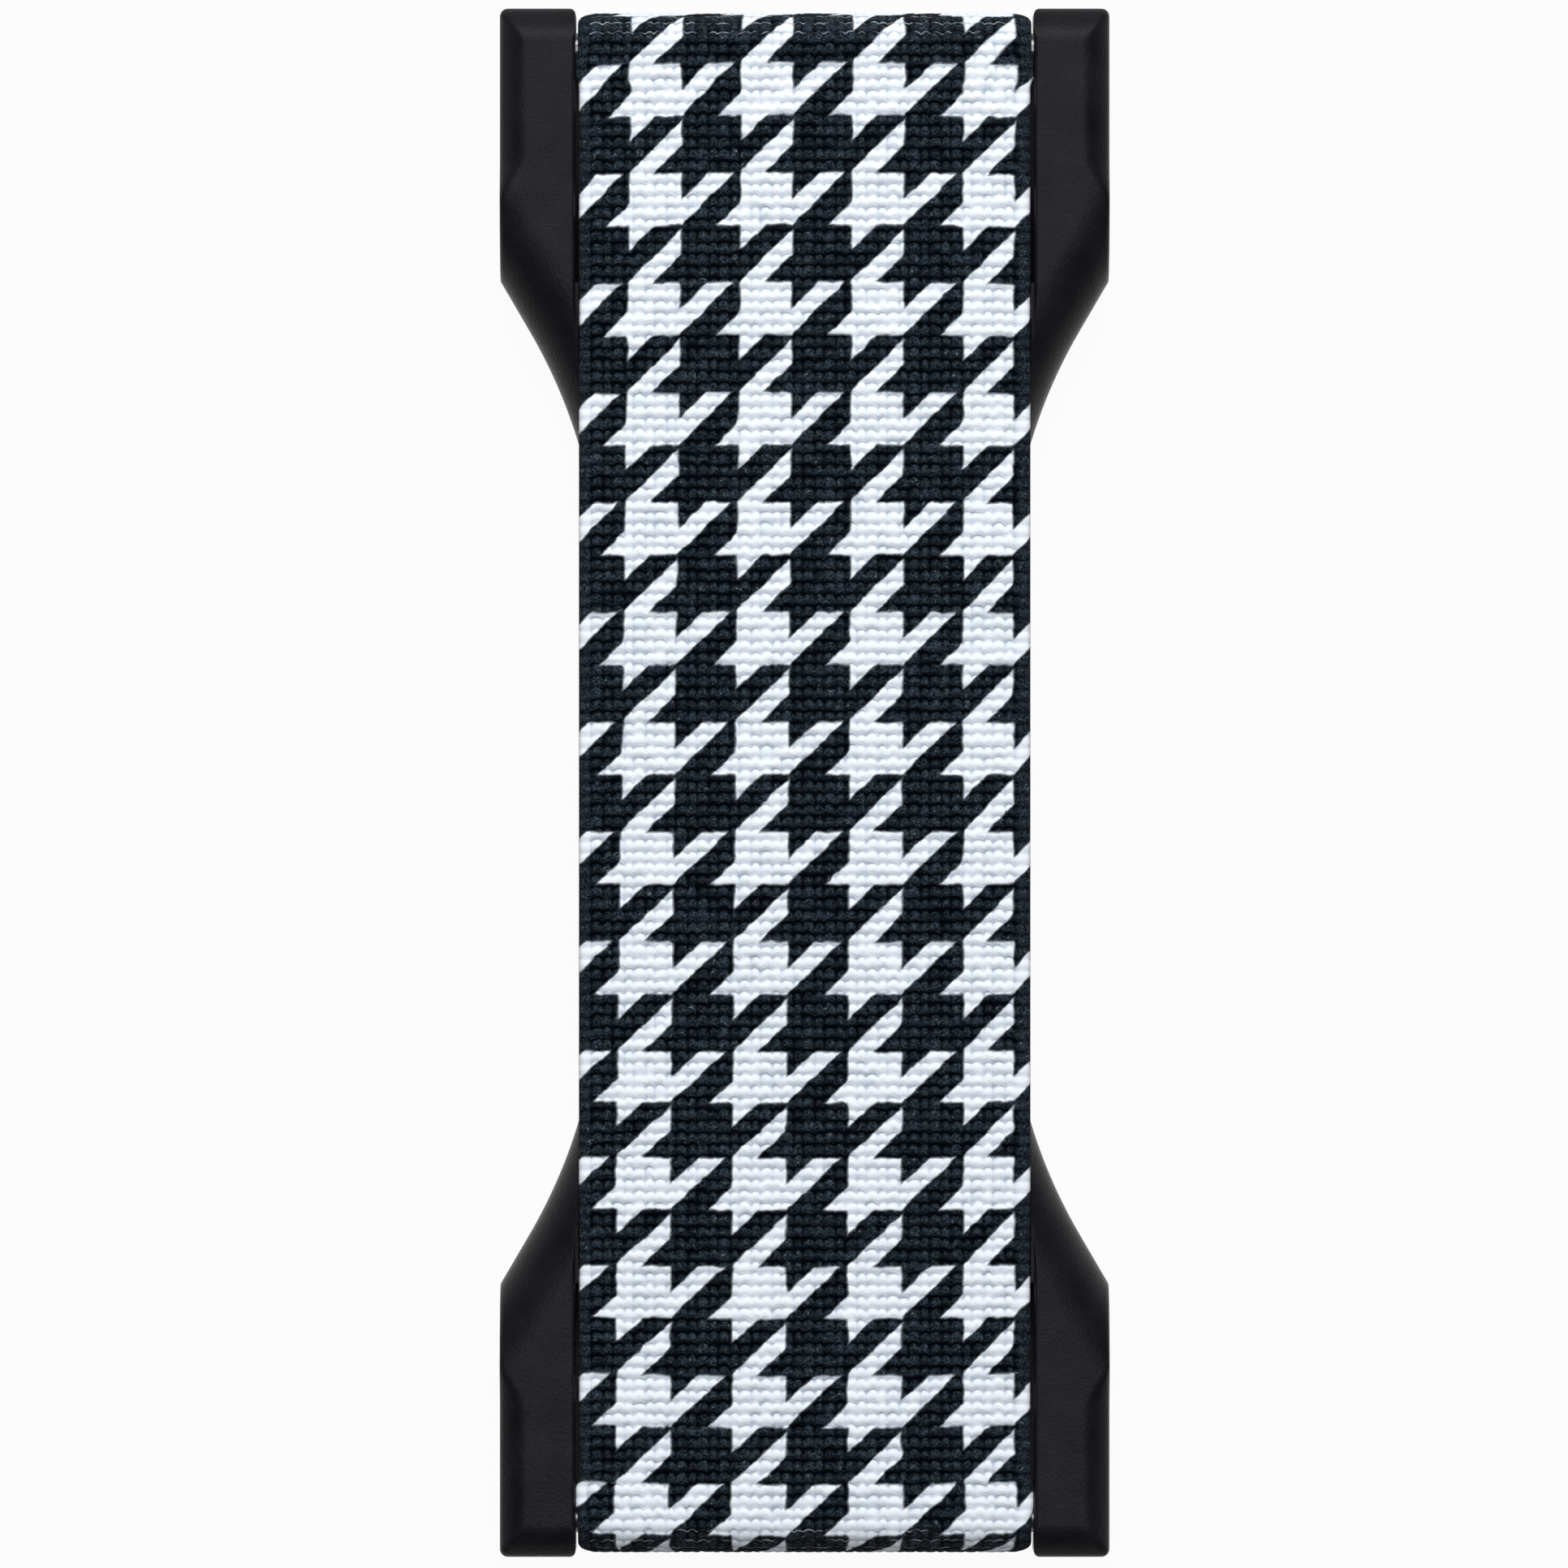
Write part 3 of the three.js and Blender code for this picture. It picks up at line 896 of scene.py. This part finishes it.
# %% Black moulded plastic
plastic = Finish("black_moulded_plastic")
plastic_place = plastic.object_place()
fine_grain = plastic.grain(plastic_place, 5200.0, 4.0, 0.6)
cloudy = plastic.grain(plastic_place, 420.0, 3.0, 0.55)
plastic_stops = [(0.3, (0.0056, 0.0057, 0.0078)), (0.72, (0.0102, 0.0104, 0.0132))]
plastic_colour = plastic.ramp(cloudy, plastic_stops)
plastic_rough = plastic.maths("MULTIPLY_ADD", fine_grain, 0.20, 0.25)
plastic.set(base_color=plastic_colour, roughness=plastic_rough, specular_ior_level=0.085)
plastic.set(normal=plastic.bump(fine_grain, 0.00007, 0.75))
base_shell.data.materials.clear()
base_shell.data.materials.append(plastic.material)
print("finish:", plastic.material.name)

# %% Charcoal plate plastic
plate_finish = Finish("charcoal_plate_plastic")
plate_place = plate_finish.object_place()
plate_grain = plate_finish.grain(plate_place, 3600.0, 3.0, 0.6)
plate_cloud = plate_finish.grain(plate_place, 300.0, 2.0)
plate_colour = plate_finish.ramp(plate_cloud, [(0.3, (0.022, 0.021, 0.024)), (0.7, (0.030, 0.029, 0.033))])
plate_rough = plate_finish.maths("MULTIPLY_ADD", plate_grain, 0.2, 0.55)
plate_finish.set(base_color=plate_colour, roughness=plate_rough)
plate_finish.set(normal=plate_finish.bump(plate_grain, 0.00004, 0.6))
print("finish:", plate_finish.material.name)

# %% [markdown]
# ## Foam and steel
#
# The foam is charcoal, dull and full of tiny cells, which Voronoi texture draws well. The steel of the pins
# and clips has fine draw lines along its length, so its noise is stretched along X.

# %% Foam
foam = Finish("charcoal_foam")
foam_place = foam.object_place()
cells = foam.add("ShaderNodeTexVoronoi")
cells.inputs["Scale"].default_value = 3200.0
foam.feed(foam_place, cells.inputs["Vector"])
foam_cloud = foam.grain(foam_place, 500.0, 3.0)
foam_colour = foam.ramp(foam_cloud, [(0.3, (0.045, 0.045, 0.050)), (0.7, (0.068, 0.068, 0.074))])
foam.set(base_color=foam_colour, roughness=foam.maths("MULTIPLY_ADD", foam_cloud, 0.15, 0.78))
foam.set(normal=foam.bump(cells.outputs["Distance"], 0.00008, 0.5))
foam_pad.data.materials.clear()
foam_pad.data.materials.append(foam.material)
print("finish:", foam.material.name)


# %% Steel
def steel_finish(name, colour, roughness):
    steel = Finish(name)
    stretch = steel.add("ShaderNodeMapping")
    stretch.inputs["Scale"].default_value = (0.06, 1.0, 1.0)
    steel.feed(steel.object_place(), stretch.inputs["Vector"])
    lines = steel.grain(stretch.outputs["Vector"], 9000.0, 3.0, 0.6)
    dark = tuple(channel * 0.82 for channel in colour)
    steel.set(base_color=steel.ramp(lines, [(0.3, dark), (0.7, colour)]), metallic=1.0)
    steel.set(roughness=steel.maths("MULTIPLY_ADD", lines, 0.18, roughness))
    steel.set(normal=steel.bump(lines, 0.00001, 0.4))
    return steel.material


pin_finish = steel_finish("drawn_steel_wire", (0.56, 0.57, 0.58), 0.22)
clip_finish = steel_finish("pressed_steel_sheet", (0.50, 0.51, 0.52), 0.34)
for pin in (top_pin, bottom_pin):
    pin.data.materials.clear()
    pin.data.materials.append(pin_finish)
print("finish:", pin_finish.name, clip_finish.name)

# %% [markdown]
# ## Printed elastic
#
# It repeats in a cell with four quarters: one is white, the opposite one is black, and diagonal stripes cross
# the other two. Every edge is a soft step about 0.2 mm wide, because ink spreads in yarn. The nodes work on
# the band's own map, so the print follows the cloth round the pins.

# %% The check
cloth = Finish("printed_woven_elastic")
cloth_map = cloth.add("ShaderNodeUVMap", uv_map=band_map.name)
map_parts = cloth.add("ShaderNodeSeparateXYZ")
cloth.feed(cloth_map.outputs["UV"], map_parts.inputs[0])
cloth_place = cloth.object_place()
wobble = 0.05
stretch_u = cloth.maths("MULTIPLY_ADD", map_parts.outputs["X"], map_columns, -map_left * map_columns)
stretch_v = cloth.maths("MULTIPLY_ADD", map_parts.outputs["Y"], map_rows, -map_top * map_rows)
wobble_one = cloth.maths("MULTIPLY_ADD", cloth.grain(cloth_place, 900.0, 2.0), wobble, -wobble / 2)
wobble_two = cloth.maths("MULTIPLY_ADD", cloth.grain(cloth_place, 1100.0, 2.0, 0.5, 0.4), wobble, -wobble / 2)
check_u = cloth.maths("ADD", stretch_u, wobble_one)
check_v = cloth.maths("ADD", stretch_v, wobble_two)
print("the map is read as cells of the check")

# %% Quarters of the cell
quarter_width = 0.474
quarter_height = 0.485
cell_width = 6.99
cell_height = 6.94
soft = 0.21


def soft_inside(distance):
    return cloth.maths("MULTIPLY_ADD", distance, 1.0 / soft, 0.5, clamp=True)


def cell_part(value, start):
    return cloth.maths("WRAP", value, start + 1.0, start)


def quarter(value, size, period):
    centred = cloth.maths("WRAP", cloth.maths("SUBTRACT", value, size / 2), 0.5, -0.5)
    inside = cloth.maths("SUBTRACT", size / 2, cloth.maths("ABSOLUTE", centred))
    return soft_inside(cloth.maths("MULTIPLY", inside, period))


in_column = quarter(check_u, quarter_width, cell_width)
in_row = quarter(check_v, quarter_height, cell_height)
off_column = cloth.maths("SUBTRACT", 1.0, in_column)
off_row = cloth.maths("SUBTRACT", 1.0, in_row)
print("quarters:", quarter_width, quarter_height)


# %% Diagonal stripes
# A run adds the distances across and along a quarter in mm, so it is the same all along a diagonal line.
# A span is a part of the run that is white. Each distance is read from a little before the quarter starts
lead = 0.26
row_lead = 0.25
right_spans = ((1.656, 3.313), (5.56, 9.0))
lower_spans = ((-3.0, 1.605), (3.489, 5.156))
ink_spread = 2.6


def stripe(value, start, finish):
    first = soft_inside(cloth.maths("SUBTRACT", value, start))
    second = soft_inside(cloth.maths("SUBTRACT", finish, value))
    return cloth.maths("MULTIPLY", first, second)


def two_stripes(value, spans):
    first, second = [stripe(value, start, finish) for start, finish in spans]
    return cloth.maths("ADD", first, second)


right_run = cloth.maths("SUBTRACT", cell_part(check_u, quarter_width - lead), quarter_width)
right_run = cloth.maths("MULTIPLY", right_run, cell_width)
right_run = cloth.maths("MULTIPLY_ADD", cell_part(check_v, -row_lead), cell_height, right_run)
right_stripes = two_stripes(right_run, right_spans)
lower_run = cloth.maths("SUBTRACT", cell_part(check_v, quarter_height - lead), quarter_height)
lower_run = cloth.maths("MULTIPLY", lower_run, cell_height)
lower_run = cloth.maths("MULTIPLY_ADD", cell_part(check_u, -lead), cell_width, lower_run)
lower_stripes = two_stripes(lower_run, lower_spans)
white_quarter = cloth.maths("MULTIPLY", in_column, in_row)
right_quarter = cloth.maths("MULTIPLY", cloth.maths("MULTIPLY", off_column, in_row), right_stripes)
lower_quarter = cloth.maths("MULTIPLY", cloth.maths("MULTIPLY", in_column, off_row), lower_stripes)
striped_quarters = cloth.maths("ADD", right_quarter, lower_quarter)
white_share = cloth.maths("ADD", white_quarter, striped_quarters, clamp=True)
white_share = cloth.maths("POWER", white_share, ink_spread)
print("stripes are added to two of the quarters")

# %% [markdown]
# Painted shade darkens the white yarn where it sinks between the beads, and darkens the black even more,
# so that only the black's crests stay light. The black has a faint blue-grey bloom and a few loose strands,
# whose glints are painted as pale specks. At the rolled ends the weave opens a little, and pale yarn shows
# in short dashes through the black.


# %% Colour of the yarn, with painted shade and painted glints
def grey(level):
    return (level, level, level)


yarn_depth = cloth.add("ShaderNodeAttribute", attribute_name="yarn_depth").outputs["Fac"]
fibre = cloth.grain(cloth_place, 6500.0, 4.0, 0.65, 0.6)
strand = cloth.grain(cloth_place, 3400.0, 2.0, 0.5, 1.6)
# The white yarn's colour runs darker with depth: painted shade in the valleys between the beads
white_shaded_stops = [(0.0, (0.87, 0.92, 0.97)), (0.25, (0.81, 0.86, 0.93))]
white_shaded_stops += [(0.5, (0.67, 0.73, 0.81)), (0.85, (0.40, 0.45, 0.53))]
white_yarn_painted_shade = cloth.ramp(yarn_depth, white_shaded_stops)
black_top = cloth.ramp(fibre, [(0.40, (0.002, 0.005, 0.009)), (0.72, (0.062, 0.086, 0.110))])
# A few stray fibres in the black get pale specks, a painted glint of the light they catch
strand_glint_share = cloth.ramp(strand, [(0.675, grey(0.0)), (0.71, grey(1.0))])
black_with_strand_glints = cloth.blend(strand_glint_share, black_top, (0.16, 0.19, 0.22))
# Painted shade: the black runs to near black with depth, and only its crests keep their lighter colour
black_valley_painted_shade = cloth.ramp(yarn_depth, [(0.0, grey(0.0)), (0.25, grey(0.5)), (0.6, grey(1.0))])
black_yarn_painted_shade = cloth.blend(black_valley_painted_shade, black_with_strand_glints, (0.0003, 0.0012, 0.0022))
weave_opened = cloth.add("ShaderNodeAttribute", attribute_name="weave_opened").outputs["Fac"]
opened_share = cloth.ramp(weave_opened, [(0.5, grey(0.0)), (0.85, grey(1.0))])
patches = cloth.grain(cloth_place, 1300.0, 2.0)
opened_patch = cloth.ramp(patches, [(0.44, grey(0.03)), (0.62, grey(0.45))])
opened_share = cloth.blend(1.0, opened_share, opened_patch, "MULTIPLY")
black_yarn_painted_shade = cloth.blend(opened_share, black_yarn_painted_shade, (0.62, 0.66, 0.72))
yarn_colour = cloth.blend(white_share, black_yarn_painted_shade, white_yarn_painted_shade)
cloth.set(base_color=yarn_colour, roughness=0.9, specular_ior_level=0.03)
cloth.set(normal=cloth.bump(fibre, 0.00006, 0.7))
cloth.shader.inputs["Sheen Weight"].default_value = 0.02
cloth.shader.inputs["Sheen Roughness"].default_value = 0.5
band_mesh.materials.clear()
band_mesh.materials.append(cloth.material)
print("finish:", cloth.material.name)

# %% [markdown]
# ## Finishes of the CAD parts that stay
#
# The closing plate and the folded clips keep their CAD meshes, because their shapes are right and they are
# mostly out of sight. They only get a finish.

# %% Finish the carried-over nodes
for node_name, finish in (
    ("closing_plate", plate_finish.material),
    ("end_clip_top", clip_finish),
    ("end_clip_bottom", clip_finish),
):
    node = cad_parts[node_name]
    node.data.materials.clear()
    node.data.materials.append(finish)
print("finished nodes: closing_plate, end_clip_top, end_clip_bottom")
